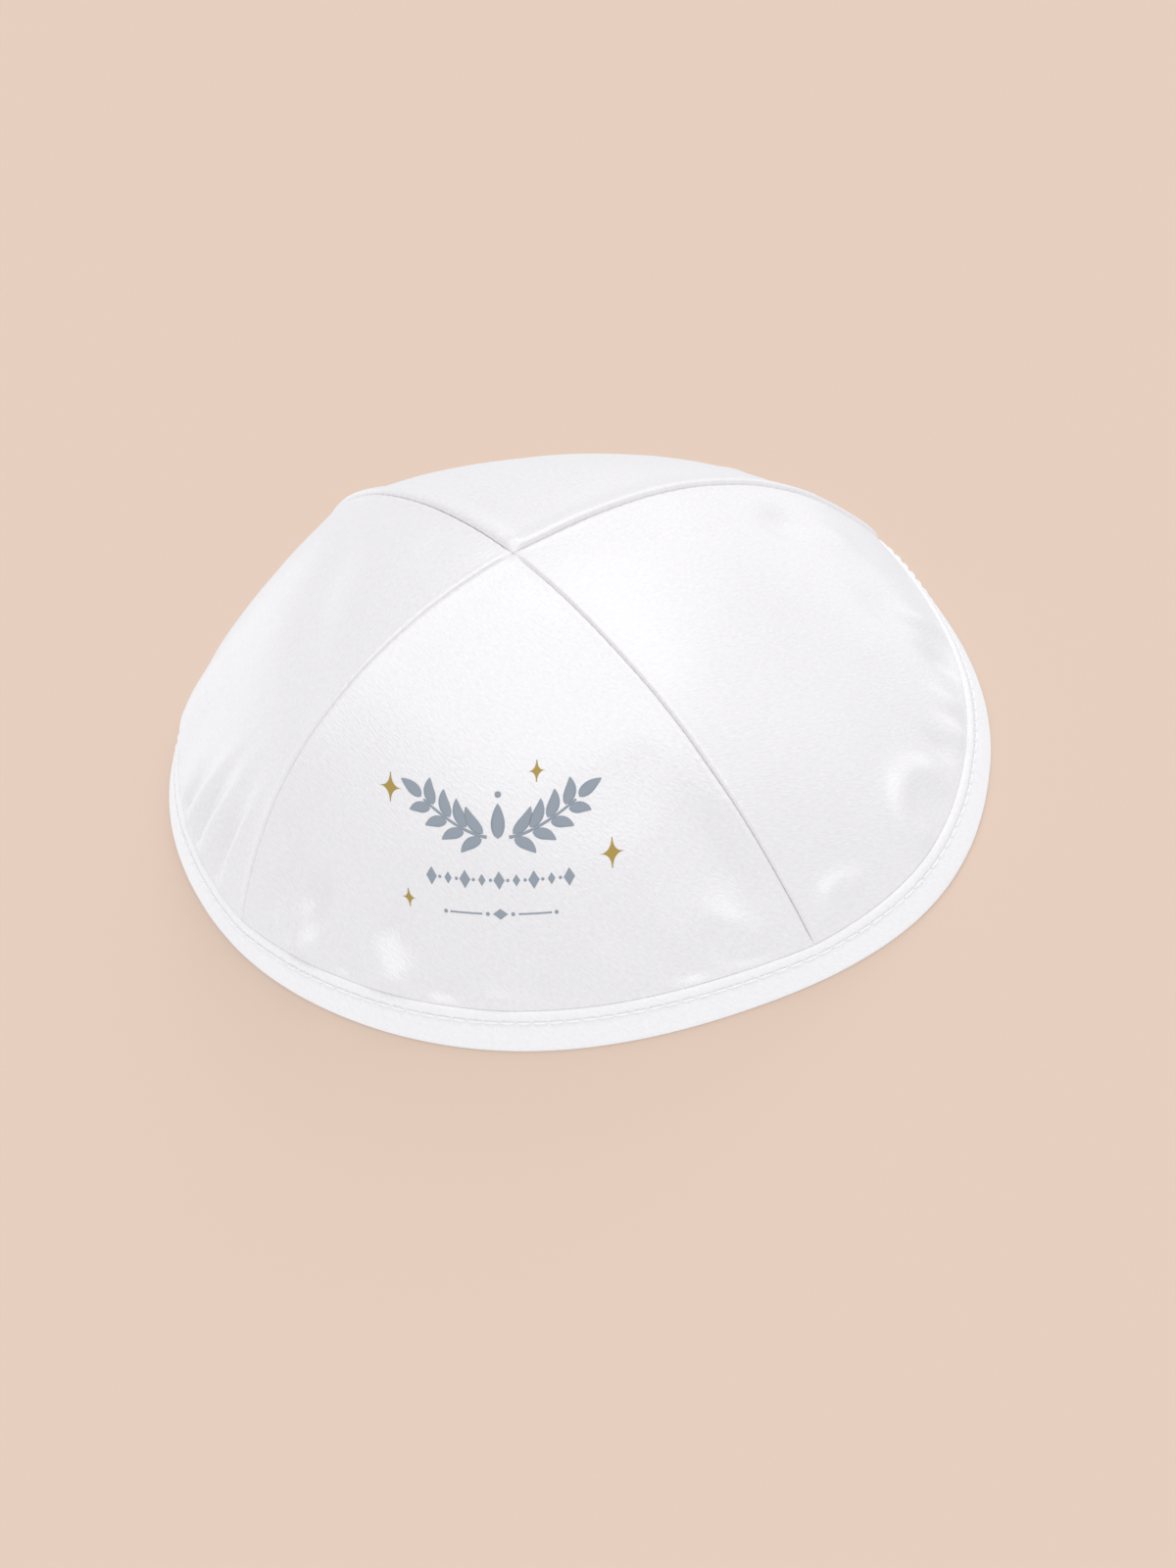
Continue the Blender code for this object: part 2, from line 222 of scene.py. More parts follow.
# Arched folds: panel, across and down of the arc's centre, its radius and the fold's own spread as shares
# of RIM_RADIUS, height as a share of DENT_DEPTH, and the turn of the arc's middle from up the slope
# (clockwise) and its reach to each side, in degrees
ARCHES = (
    ("right", -0.40, 0.875, 0.084, 0.037, 1.35, -20, 110),
    ("right", -0.85, 0.892, 0.056, 0.032, 0.9, -20, 90),
)

# Section of the band, from the outer leg's top inner corner round the outside, under the fold, up the
# inside and back down the channel: rise up the slope and lift from the cap's outline, in millimetres
BAND_SECTION = (
    (8.40, -0.90),
    (8.62, -0.45),
    (8.50, -0.02),
    (8.05, 0.30),
    (7.40, 0.42),
    (6.75, 0.20),
    (6.20, 0.00),
    (5.65, 0.10),
    (4.70, 0.20),
    (3.20, 0.16),
    (1.90, 0.10),
    (0.95, -0.10),
    (0.50, -1.00),
    (1.30, -2.60),
    (2.60, -3.50),
    (4.80, -3.60),
    (6.20, -3.45),
    (7.40, -3.58),
    (8.00, -3.10),
    (7.80, -2.70),
    (2.50, -2.68),
    (2.50, -0.92),
)


def smooth_step(share):
    """0 below a share of 0, 1 above a share of 1, with level ends."""
    share = np.clip(share, 0.0, 1.0)
    return share * share * (3.0 - 2.0 * share)


def hump(distance, spread):
    """Round hump of height 1 at distance 0."""
    return np.exp(-((distance / spread) ** 2))


def through(values, place):
    """Value at a place on a smooth closed curve through evenly spaced values."""
    values = np.asarray(values)
    index = np.floor(place).astype(int)
    part = place - index
    before, at, after, beyond = (values[(index + k) % len(values)] for k in (-1, 0, 1, 2))
    return at + 0.5 * part * (
        after
        - before
        + part * (2 * before - 5 * at + 4 * after - beyond + part * (3 * (at - after) + beyond - before))
    )


def rim_share(heading):
    """Radius of the rim at a heading, as a share of RIM_RADIUS."""
    return through([share for _, share in RIM_PLAN], np.degrees(heading) % 360.0 / 360.0 * len(RIM_PLAN))


def seam_heading(seam, down):
    heading, swing, bow, _, _, _ = SEAMS[seam]
    return heading + swing * down + bow * 4.0 * down * (1.0 - down)


def panel_span(panel, down):
    """Headings of a panel's left and right seams, in radians."""
    left, right = (seam_heading(seam, down) for seam in PANELS[panel])
    right = np.where(right < left, right + 360.0, right)
    return np.radians(left), np.radians(right)


def heading_of(panel, across, down):
    left, right = panel_span(panel, down)
    return left + (right - left) * (across + 1.0) / 2.0


def squareness(across, down):
    """Factor on the radius that makes the seams ridges: strong near the crown, slight at the rim."""
    ridge = (1.0 / np.cos(across * math.pi / 4) - 1.0) / (math.sqrt(2.0) - 1.0)
    here = CROWN_SQUARE * (1.0 - down) + RIM_SQUARE * down
    return (1.0 + here * ridge) / (1.0 + RIM_SQUARE * ridge)


def side_arc(down):
    """Radius as a share of the rim's, height as a share of the crown's, and the extra fill along each."""
    turn = SIDE_TURN * down
    radius = np.sin(turn) / math.sin(SIDE_TURN)
    height = (np.cos(turn) - math.cos(SIDE_TURN)) / (1.0 - math.cos(SIDE_TURN))
    fill = SIDE_FILL * np.sin(math.pi * down) + SHOULDER_FILL * np.sin(2 * math.pi * down)
    return radius, height, fill * np.sin(turn), fill * np.cos(turn)


def plan_radius(heading, down):
    radius, _, outwards, _ = side_arc(down)
    return RIM_RADIUS * (1.0 + (rim_share(heading) - 1.0) * down) * radius + outwards


def dome(heading, down, factor=1.0):
    """Point of the cap's outline, with the radius times a factor."""
    _, height, _, upwards = side_arc(down)
    radius = plan_radius(heading, down) * factor
    rise = CROWN_HEIGHT * height + upwards
    lean = CROWN_LEAN * rise / CROWN_HEIGHT
    x = radius * np.cos(heading) + lean
    y = radius * np.sin(heading)
    return np.stack(np.broadcast_arrays(x, y, rise), axis=-1)


def outward(heading, down):
    """Outward direction of the cap without its ridges, so that two panels share it at their seam."""
    down = np.clip(down, NEAR_CROWN, 1.0 - SMALL_STEP)
    along = dome(heading + SMALL_STEP, down) - dome(heading - SMALL_STEP, down)
    below = dome(heading, down + SMALL_STEP) - dome(heading, down - SMALL_STEP)
    direction = np.cross(below, along)
    return direction / np.linalg.norm(direction, axis=-1, keepdims=True)


def rim_middle():
    """Middle of the rim's plan, which the solids have at the origin."""
    rim = dome(np.radians(np.arange(360.0)), 1.0)
    middle = (rim.min(axis=0) + rim.max(axis=0)) / 2.0
    return middle * (1.0, 1.0, 0.0)


MIDDLE = rim_middle()


def lifted(panel, across, down, lift):
    """Point that lies a lift outside the cap's outline."""
    heading = heading_of(panel, across, down)
    outline = dome(heading, down, squareness(across, down)) - MIDDLE
    return outline + np.asarray(lift)[..., None] * outward(heading, down)


def slope_at_rim(panel, across):
    """Length of slope for a whole unit of down near the rim."""
    low, high = ABOVE_RIM
    slope = dome(heading_of(panel, across, high), high) - dome(heading_of(panel, across, low), low)
    return np.linalg.norm(slope, axis=-1) / (low - high)


def down_at_rise(panel, across, rise):
    return 1.0 - rise / slope_at_rim(panel, across)


def half_width(panel, down):
    """Distance from a panel's middle line to its seams, at one level."""
    left, right = panel_span(panel, down)
    return plan_radius((left + right) / 2.0, down) * (right - left) / 2.0


SIDE_LENGTH = RIM_RADIUS * SIDE_TURN / math.sin(SIDE_TURN) + abs(SIDE_FILL)


def seam_relief(panel, across, down):
    """Each panel turns down into its seams. Beside a seam whose allowance lies under it, it rolls up."""
    width = half_width(panel, down)
    opened = smooth_step(width / CROWN_PINCH)
    relief = 0.0
    for seam, edge in zip(PANELS[panel], (-1.0, 1.0)):
        distance = np.abs(across - edge) * width
        relief = relief - SEAM_DIP * (CROWN_DIP + (1.0 - CROWN_DIP) * opened) * hump(distance, SEAM_TURN)
        relief = relief + SEAM_LIP * opened * hump(distance - LIP_PLACE, LIP_SPREAD)
        _, _, _, raised, puff, step = SEAMS[seam]
        if raised == panel:
            roll = puff * SEAM_PUFF * hump(distance - SEAM_ROLL, ROLL_SPREAD)
            step = step * ALLOWANCE_STEP * smooth_step((ALLOWANCE - distance) / STEP_SPREAD)
            step = step * smooth_step((down - STEP_FROM) / STEP_RUN)
            relief = relief + opened * (roll + step)
    return relief


def dent_relief(panel, across, down):
    """Sum of the soft dents and folds that DENTS and ARCHES list for a panel."""
    relief = 0.0
    for name, dent_across, dent_down, length, width, height, lean in DENTS:
        if name != panel:
            continue
        beside = (across - dent_across) * half_width(panel, dent_down)
        below = (down - dent_down) * SIDE_LENGTH
        turn = math.radians(lean)
        along_fold = below * math.cos(turn) + beside * math.sin(turn)
        over_fold = beside * math.cos(turn) - below * math.sin(turn)
        away = np.hypot(along_fold / length, over_fold / width)
        relief = relief + height * DENT_DEPTH * hump(away, RIM_RADIUS)
    for name, arch_across, arch_down, radius, spread, height, heading, reach in ARCHES:
        if name != panel:
            continue
        beside = (across - arch_across) * half_width(panel, arch_down)
        above = (arch_down - down) * SIDE_LENGTH
        turn = np.degrees(np.arctan2(beside, above)) - heading
        turn = np.abs((turn + 180.0) % 360.0 - 180.0)
        fold = hump(np.hypot(beside, above) - radius * RIM_RADIUS, spread * RIM_RADIUS)
        within = smooth_step((ARCH_END * reach - turn) / (ARCH_FADE * reach))
        relief = relief + height * DENT_DEPTH * fold * within
    beside_seam = (1.0 - np.abs(across)) * half_width(panel, down)
    return relief * smooth_step(beside_seam / SEAM_HOLD)


def noise_at(places):
    """Soft noise between about -1 and 1, with lumps one unit wide."""
    flat = places.reshape(-1, 3)
    values = np.fromiter((noise.noise(place) for place in flat.tolist()), float, len(flat))
    return values.reshape(places.shape[:-1])


def slack_relief(panel, across, down):
    """Unevenness of soft cloth: broad slack, small ripples, and short gathers above the band."""
    place = dome(heading_of(panel, across, down), down)
    broad = SLACK * noise_at(place / SLACK_SIZE) + RIPPLE * noise_at(place / RIPPLE_SIZE)
    above = np.maximum((1.0 - down) * SIDE_LENGTH - BAND_WIDTH, 0.0)
    beside = heading_of(panel, across, down) * RIM_RADIUS / GATHER_SIZE
    level = down * SIDE_LENGTH / (2.0 * GATHER_RUN)
    gathers = noise_at(np.stack([beside, level, 0.0 * beside], axis=-1))
    return broad + GATHER * gathers * np.exp(-above / GATHER_RUN)


def cloth_lift(panel, across, down):
    """Lift of a panel's outer face: relief above the band, and a drop to pass under the band."""
    above = (1.0 - down) * slope_at_rim(panel, across) - BAND_WIDTH - BAND_MARGIN
    relief = seam_relief(panel, across, down) + dent_relief(panel, across, down)
    relief = relief + slack_relief(panel, across, down)
    return relief * smooth_step(above / FADE_RUN) - SINK * (1.0 - smooth_step(above / SINK_RUN))


def hex_colour(code):
    """Linear colour from an sRGB hex code."""
    channels = [int(code[k : k + 2], 16) / 255.0 for k in (1, 3, 5)]
    linear = [c / 12.92 if c <= 0.04045 else ((c + 0.055) / 1.055) ** 2.4 for c in channels]
    return (*linear, 1.0)


def add_node(tree, kind, settings=None, links=None):
    """Adds a node. settings gives its properties and input values, links its inputs' sources."""
    node = tree.nodes.new(kind)
    for name, value in (settings or {}).items():
        if isinstance(name, int) or name in node.inputs:
            node.inputs[name].default_value = value
        else:
            setattr(node, name, value)
    for name, source in (links or {}).items():
        tree.links.new(source, node.inputs[name])
    return node


def new_material(name, shader_values):
    """Material with one Principled shader, and its tree and shader."""
    material = bpy.data.materials.new(name)
    material.use_nodes = True
    shader = material.node_tree.nodes["Principled BSDF"]
    for socket, value in shader_values.items():
        shader.inputs[socket].default_value = value
    return material, material.node_tree, shader


def bump_by(tree, shader, texture, strength, depth):
    """Bumps a shader's surface by a texture."""
    height = texture.outputs["Fac"]
    bump = add_node(tree, "ShaderNodeBump", {"Strength": strength, "Distance": depth}, {"Height": height})
    tree.links.new(bump.outputs["Normal"], shader.inputs["Normal"])


def grain_by(tree, shader, size, detail, strength, depth):
    """Bumps a shader's surface by a fine noise that stays with the piece."""
    place = add_node(tree, "ShaderNodeTexCoord").outputs["Object"]
    texture = add_node(tree, "ShaderNodeTexNoise", {"Scale": 1 / size, "Detail": detail}, {"Vector": place})
    bump_by(tree, shader, texture, strength, depth)


def woven_satin(name, colour, roughness, sheen, anisotropy, grain_depth):
    """Polyester satin: long bright filament floats cover its face. They throw light back along one
    direction, so the sheen is strong and soft, and their crimp gives a fine pebbled grain. Real crimp is
    0.3 mm across, too fine to show, so the grain is drawn as large as CRIMP_SIZE says. The colour is
    painted lighter where the crimp stands up: a painted sheen on the floats' tops."""
    material, tree, shader = new_material(
        name,
        {
            "Roughness": roughness,
            "IOR": 2.0,
            "Specular IOR Level": sheen,
            "Anisotropic": anisotropy,
            "Sheen Weight": 0.1,
            "Sheen Roughness": 0.4,
        },
    )
    cloth = add_node(tree, "ShaderNodeUVMap", {"uv_map": "cloth"}).outputs["UV"]
    turned = add_node(
        tree,
        "ShaderNodeMapping",
        {"vector_type": "TEXTURE", "Rotation": (0.0, 0.0, CRIMP_TURN), "Scale": (*CRIMP_SIZE, 1.0)},
        {"Vector": cloth},
    ).outputs["Vector"]
    crimp = add_node(
        tree, "ShaderNodeTexNoise", {"Scale": 1.0, "Detail": 1.5, "Distortion": 0.6}, {"Vector": turned}
    )
    share = add_node(
        tree, "ShaderNodeMapRange", {"From Min": 0.3, "From Max": 0.7}, {"Value": crimp.outputs["Fac"]}
    )
    # Painted sheen: the base colour goes from the first colour in the crimp's hollows to the lighter second
    # one on its raised tops
    crimp_sheen_tint = add_node(
        tree,
        "ShaderNodeMix",
        {"data_type": "RGBA", 6: hex_colour(colour[0]), 7: hex_colour(colour[1])},
        {0: share.outputs["Result"]},
    )
    bump_by(tree, shader, crimp, strength=0.7, depth=grain_depth)
    tangent = add_node(tree, "ShaderNodeTangent", {"direction_type": "UV_MAP", "uv_map": "cloth"})
    tree.links.new(crimp_sheen_tint.outputs[2], shader.inputs["Base Color"])
    tree.links.new(tangent.outputs["Tangent"], shader.inputs["Tangent"])
    return material


def spun_thread(name, colour):
    """Spun polyester sewing thread, 0.3 mm thick: duller than satin, with a fine twist."""
    material, tree, shader = new_material(name, {"Base Color": hex_colour(colour), "Roughness": 0.6})
    grain_by(tree, shader, size=0.15 * MM, detail=1.0, strength=0.5, depth=0.05 * MM)
    return material


def transfer_film(name, colour, metallic, roughness):
    """Heat-pressed transfer film: thin, even and smoother than cloth, with the weave pressed through."""
    material, tree, shader = new_material(
        name, {"Base Color": hex_colour(colour), "Metallic": metallic, "Roughness": roughness}
    )
    grain_by(tree, shader, size=0.5 * MM, detail=2.0, strength=0.3, depth=0.04 * MM)
    return material


# Satin's drawn grain: its size along and across a float in millimetres, its turn and its depth
CRIMP_SIZE = (1.1, 0.5)
CRIMP_TURN = math.radians(-42.0)
CLOTH_CRIMP = 0.12 * MM
TAPE_CRIMP = 0.06 * MM

# Each satin's two colours: its own colour in the crimp's hollows, and a lighter one that paints sheen on
# the crimp's raised tops
SATIN_FACE = woven_satin("satin_face_woven", ("#E7E5EA", "#F0EEF1"), 0.30, 1.0, 0.3, CLOTH_CRIMP)
SATIN_TAPE = woven_satin("satin_tape_woven", ("#F1F0F3", "#F7F6F8"), 0.42, 0.4, 0.2, TAPE_CRIMP)
SATIN_BACK = woven_satin("satin_reverse_woven", ("#E4E3E8", "#EFEEF2"), 0.7, 0.2, 0.0, CLOTH_CRIMP)
SEWING_THREAD = spun_thread("thread_spun_polyester", "#FAF9FB")
GREY_FILM = transfer_film("film_grey_pressed", "#939DA8", 0.0, 0.5)
GOLD_FILM = transfer_film("film_gold_pressed", "#AE9448", 0.2, 0.45)


def add_object(name, data):
    """New object at the origin, in the scene."""
    made = bpy.data.objects.new(name, data)
    bpy.context.scene.collection.objects.link(made)
    return made


def quads_between(rows, columns):
    """Corner numbers of a grid's quads, seen from the side that down rows and right columns show."""
    index = np.arange(rows * columns).reshape(rows, columns)
    corners = (index[:-1, :-1], index[1:, :-1], index[1:, 1:], index[:-1, 1:])
    return np.stack(corners, axis=-1).reshape(-1, 4)


def wall_mesh(outer, inner, cloth):
    """Points, quads, cloth coordinates at the quads' corners, and each quad's side, of a closed wall."""
    rows, columns = outer.shape[:2]
    count = rows * columns
    face = quads_between(rows, columns)
    index = np.arange(count).reshape(rows, columns)
    border = np.concatenate([index[:, 0], index[-1, 1:], index[-2::-1, -1], index[0, -2::-1]])
    ahead = border[1:]
    behind = border[:-1]
    edge = np.stack([behind, behind + count, ahead + count, ahead], axis=-1)
    quads = np.concatenate([face, face[:, ::-1] + count, edge])
    side = np.concatenate([np.zeros(len(face), int), np.ones(len(face), int), np.zeros(len(edge), int)])
    points = np.concatenate([outer.reshape(-1, 3), inner.reshape(-1, 3)])
    cloth = cloth.reshape(-1, 2)
    return points, quads, np.concatenate([cloth, cloth])[quads], side


def new_piece(name, points, quads, cloth=None, materials=(), side=None):
    """Mesh object at the origin, with its cloth coordinates in millimetres."""
    mesh = bpy.data.meshes.new(name)
    mesh.from_pydata(points.tolist(), [], quads.tolist())
    if cloth is not None:
        layer = mesh.uv_layers.new(name="cloth")
        layer.uv.foreach_set("vector", np.ascontiguousarray(cloth, np.float32).ravel())
    for material in materials:
        mesh.materials.append(material)
    if side is not None:
        mesh.polygons.foreach_set("material_index", side.astype(np.int32))
    mesh.shade_smooth()
    return add_object(name, mesh)


def store(piece, name, values):
    """Keeps a number or a direction at each point of a piece."""
    kind = "FLOAT_VECTOR" if values.ndim == 2 else "FLOAT"
    attribute = piece.data.attributes.new(name, kind, "POINT")
    field = "vector" if values.ndim == 2 else "value"
    attribute.data.foreach_set(field, values.astype(np.float32).ravel())


def new_tree(name, inputs):
    """Geometry Nodes tree with a geometry and named inputs, and what its input node gives."""
    tree = bpy.data.node_groups.new(name, "GeometryNodeTree")
    tree.interface.new_socket("Geometry", in_out="INPUT", socket_type="NodeSocketGeometry")
    tree.interface.new_socket("Geometry", in_out="OUTPUT", socket_type="NodeSocketGeometry")
    for label, kind in inputs.items():
        tree.interface.new_socket(label, in_out="INPUT", socket_type=kind)
    return tree, add_node(tree, "NodeGroupInput").outputs


def run_tree(piece, tree, values):
    """New plain mesh object that a tree makes of a piece, which is then removed."""
    modifier = piece.modifiers.new(tree.name, "NODES")
    modifier.node_group = tree
    for item in tree.interface.items_tree:
        if item.in_out == "INPUT" and item.name in values:
            modifier[item.identifier] = values[item.name]
    bpy.context.view_layer.update()
    evaluated = piece.evaluated_get(bpy.context.evaluated_depsgraph_get())
    mesh = bpy.data.meshes.new_from_object(evaluated)
    name = piece.name
    bpy.data.objects.remove(piece)
    mesh.name = name
    return add_object(name, mesh)


def needle_tree():
    """Pulls cloth in at each hole of a row of stitches. It reads the points' own attributes: along, their
    distance along the row, beside, their distance from it, and pull, the direction into the cloth."""
    tree, given = new_tree(
        "needle_holes",
        {"Pitch": "NodeSocketFloat", "Depth": "NodeSocketFloat", "Reach": "NodeSocketFloat"},
    )

    def read(name, kind):
        return add_node(tree, "GeometryNodeInputNamedAttribute", {"data_type": kind, "Name": name})

    def math_node(operation, *values):
        node = add_node(tree, "ShaderNodeMath", {"operation": operation})
        for socket, value in zip(node.inputs, values):
            if isinstance(value, float):
                socket.default_value = value
            else:
                tree.links.new(value, socket)
        return node.outputs["Value"]

    turns = math_node("DIVIDE", read("along", "FLOAT").outputs["Attribute"], given["Pitch"])
    wave = math_node("COSINE", math_node("MULTIPLY", turns, 2.0 * math.pi))
    hole = math_node("POWER", math_node("MULTIPLY_ADD", wave, 0.5, 0.5), 3.0)
    far = math_node("DIVIDE", read("beside", "FLOAT").outputs["Attribute"], given["Reach"])
    near = math_node("EXPONENT", math_node("MULTIPLY", math_node("MULTIPLY", far, far), -1.0))
    depth = math_node("MULTIPLY", math_node("MULTIPLY", hole, near), given["Depth"])
    offset = add_node(
        tree,
        "ShaderNodeVectorMath",
        {"operation": "SCALE"},
        {0: read("pull", "FLOAT_VECTOR").outputs["Attribute"], "Scale": depth},
    )
    moved = add_node(
        tree,
        "GeometryNodeSetPosition",
        links={"Geometry": given["Geometry"], "Offset": offset.outputs["Vector"]},
    )
    add_node(tree, "NodeGroupOutput", links={"Geometry": moved.outputs["Geometry"]})
    return tree


def stitch_tree():
    """Lays short arched threads along a row of points, with their length along it and their backs out."""
    tree, given = new_tree(
        "thread_stitches",
        {
            "Stitches": "NodeSocketInt",
            "Length": "NodeSocketFloat",
            "Thread": "NodeSocketFloat",
            "Arch": "NodeSocketFloat",
            "Material": "NodeSocketMaterial",
        },
    )
    half = add_node(
        tree, "ShaderNodeMath", {"operation": "MULTIPLY", 1: 0.5}, {0: given["Length"]}
    ).outputs["Value"]
    back = add_node(
        tree, "ShaderNodeMath", {"operation": "MULTIPLY", 1: -1.0}, {0: half}
    ).outputs["Value"]
    ends = [add_node(tree, "ShaderNodeCombineXYZ", links={"X": x}).outputs["Vector"] for x in (back, half)]
    tops = [
        add_node(tree, "ShaderNodeCombineXYZ", links={"X": x, "Z": given["Arch"]}).outputs["Vector"]
        for x in (back, half)
    ]
    arch = add_node(
        tree,
        "GeometryNodeCurvePrimitiveBezierSegment",
        {"Resolution": 8},
        {"Start": ends[0], "Start Handle": tops[0], "End Handle": tops[1], "End": ends[1]},
    )
    radius = add_node(
        tree, "ShaderNodeMath", {"operation": "MULTIPLY", 1: 0.5}, {0: given["Thread"]}
    ).outputs["Value"]
    ring = add_node(tree, "GeometryNodeCurvePrimitiveCircle", {"Resolution": 8}, {"Radius": radius})
    thread = add_node(
        tree,
        "GeometryNodeCurveToMesh",
        {"Fill Caps": True},
        {"Curve": arch.outputs["Curve"], "Profile Curve": ring.outputs["Curve"]},
    )
    row = add_node(tree, "GeometryNodeMeshToCurve", links={"Mesh": given["Geometry"]})
    spaced = add_node(
        tree,
        "GeometryNodeResampleCurve",
        {"mode": "COUNT"},
        {"Curve": row.outputs["Curve"], "Count": given["Stitches"]},
    )
    tangent = add_node(tree, "GeometryNodeInputTangent")
    back_out = add_node(
        tree, "GeometryNodeInputNamedAttribute", {"data_type": "FLOAT_VECTOR", "Name": "outward"}
    )
    upright = add_node(
        tree,
        "FunctionNodeAlignRotationToVector",
        {"axis": "Z"},
        {"Vector": back_out.outputs["Attribute"]},
    )
    turned = add_node(
        tree,
        "FunctionNodeAlignRotationToVector",
        {"axis": "X", "pivot_axis": "Z"},
        {"Rotation": upright.outputs["Rotation"], "Vector": tangent.outputs["Tangent"]},
    )
    placed = add_node(
        tree,
        "GeometryNodeInstanceOnPoints",
        links={
            "Points": spaced.outputs["Curve"],
            "Instance": thread.outputs["Mesh"],
            "Rotation": turned.outputs["Rotation"],
        },
    )
    real = add_node(tree, "GeometryNodeRealizeInstances", links={"Geometry": placed.outputs["Instances"]})
    smooth = add_node(tree, "GeometryNodeSetShadeSmooth", links={"Geometry": real.outputs["Geometry"]})
    finished = add_node(
        tree,
        "GeometryNodeSetMaterial",
        links={"Geometry": smooth.outputs["Geometry"], "Material": given["Material"]},
    )
    add_node(tree, "NodeGroupOutput", links={"Geometry": finished.outputs["Geometry"]})
    return tree


NEEDLE_HOLES = needle_tree()
THREAD_STITCHES = stitch_tree()


def edge_distances():
    """Distances from a seam to the cloth's first columns: close at the seam, then wider."""
    distances = [0.0]
    while distances[-1] < EDGE_RUN:
        distances.append(distances[-1] + EDGE_STEP + EDGE_GROWTH * distances[-1])
    return np.array(distances)


def row_shares():
    """Shares of the way from a panel's tip to its cut edge: close where the cloth drops under the band."""
    drop = np.arange(*DROP_ROWS, DROP_STEP)
    above = np.arange(drop[-1] + ROW_STEP, SIDE_LENGTH - 0.5 * ROW_STEP, ROW_STEP)
    rises = np.concatenate([UNDER_ROWS, drop, above, [SIDE_LENGTH - TIP]])
    return (SIDE_LENGTH - rises[::-1]) / (SIDE_LENGTH - EDGE_RISE)


def cloth_grid(panel):
    """across and down of a panel's points, in rows from its tip to its cut edge."""
    edge = edge_distances()
    widest = 2.0 * half_width(panel, 1.0)
    middle_count = int((widest - 2.0 * edge[-1]) / CLOTH_STEP)
    across_rows = []
    down_rows = []
    for share in row_shares():
        width = 2.0 * half_width(panel, share)
        squeezed = edge * min(1.0, width / (EDGE_PARTS * edge[-1]))
        middle = np.linspace(squeezed[-1], width - squeezed[-1], middle_count)[1:-1]
        places = np.concatenate([squeezed, middle, width - squeezed[::-1]])
        across = (places * 2.0 / width - 1.0) * (1.0 - SEWN_GAP / width)
        across_rows.append(across)
        down_rows.append(share * down_at_rise(panel, across, EDGE_RISE))
    return np.array(across_rows), np.array(down_rows)


def sew_panel(panel):
    """One panel of satin, with its seams' needle holes pulled in, in place of its solid."""
    across, down = cloth_grid(panel)
    lift = cloth_lift(panel, across, down)
    width = half_width(panel, down)
    cloth = np.stack([across * width, -down * SIDE_LENGTH], axis=-1) / MM
    outer = lifted(panel, across, down, lift)
    inner = lifted(panel, across, down, lift - WALL)
    points, quads, cloth, side = wall_mesh(outer, inner, cloth)
    piece = new_piece(f"satin_{panel}", points, quads, cloth, (SATIN_FACE, SATIN_BACK), side)
    beside = (1.0 - np.abs(across)) * width
    inwards = -outward(heading_of(panel, across, down), down).reshape(-1, 3)
    store(piece, "along", np.tile((down * SIDE_LENGTH).ravel(), 2))
    store(piece, "beside", np.tile(beside.ravel(), 2))
    store(piece, "pull", np.concatenate([inwards, inwards]))
    values = {"Pitch": SEAM_STITCH, "Depth": SEAM_PUCKER, "Reach": SEAM_REACH}
    piece = run_tree(piece, NEEDLE_HOLES, values)
    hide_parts(f"panel_{panel}")
    return piece


def closed(values):
    """A loop's values, with the first one again at the end."""
    return np.concatenate([values, values[:1]])


def lengths_along(points):
    """Length of the line through points, up to each of them."""
    return np.concatenate([[0.0], np.cumsum(np.linalg.norm(np.diff(points, axis=0), axis=1))])


def section_path():
    """Rise and lift along the band's section, with its corners rounded."""
    count = len(BAND_SECTION) * SECTION_STEPS
    place = np.arange(count) / SECTION_STEPS
    corners = np.array(BAND_SECTION) * MM
    return [through(corners[:, k], place) for k in (0, 1)]


def band_grid(rise, lift):
    """Points of the band, section after section round the rim, and their outward directions."""
    grid = []
    outwards = []
    for panel in PANELS:
        count = int(2.0 * half_width(panel, 1.0) / BAND_STEP)
        across = np.linspace(-1.0, 1.0, count, endpoint=False)[:, None]
        down = down_at_rise(panel, across, rise[None, :])
        grid.append(lifted(panel, across, down, lift[None, :]))
        outwards.append(outward(heading_of(panel, across, down), down))
    grid = np.concatenate(grid)
    fold = (rise < FOLD_ROUND + EDGE_RISE) & (lift > -STACK)
    grid[..., 2] = np.where(fold, np.maximum(grid[..., 2], 0.0), grid[..., 2])
    return grid, np.concatenate(outwards)


def row_index(rise, lift, outer):
    """Column of the band's grid at the bottom of the stitched groove, on the outer or the inner leg."""
    leg = lift > -SINK if outer else lift < -STACK + SINK / 2.0
    return int(np.argmin(np.where(leg, np.abs(rise - STITCH_RISE), 1.0)))


def band_relief(grid, rise, phase):
    """Puckers, scallops and slack of the band, where phase counts the stitches round the rim."""
    scallop = np.cos(2.0 * math.pi * phase) * hump(rise - STITCH_RISE - SCALLOP_ABOVE, SCALLOP_SPREAD)
    slant = np.cos(2.0 * math.pi * (phase - (rise - STITCH_RISE) / PUCKER_SLANT))
    pucker = slant * hump(rise - STITCH_RISE + PUCKER_BELOW, PUCKER_SPREAD)
    return BAND_PUFF * (pucker - scallop) + BAND_SLACK * noise_at(grid / BAND_SLACK_SIZE)


def ring_mesh(grid, along):
    """Points, quads and cloth coordinates at the quads' corners of a grid that closes both ways."""
    count, size = grid.shape[:2]
    around = lengths_along(closed(grid[0]))
    cloth = np.stack(np.broadcast_arrays(along[:, None], -around[None, :]), axis=-1) / MM
    index = np.arange(count * size).reshape(count, size)
    index = closed(closed(index).T).T
    corners = quads_between(count + 1, size + 1)[:, ::-1]
    return grid.reshape(-1, 3), index.ravel()[corners], cloth.reshape(-1, 2)[corners]


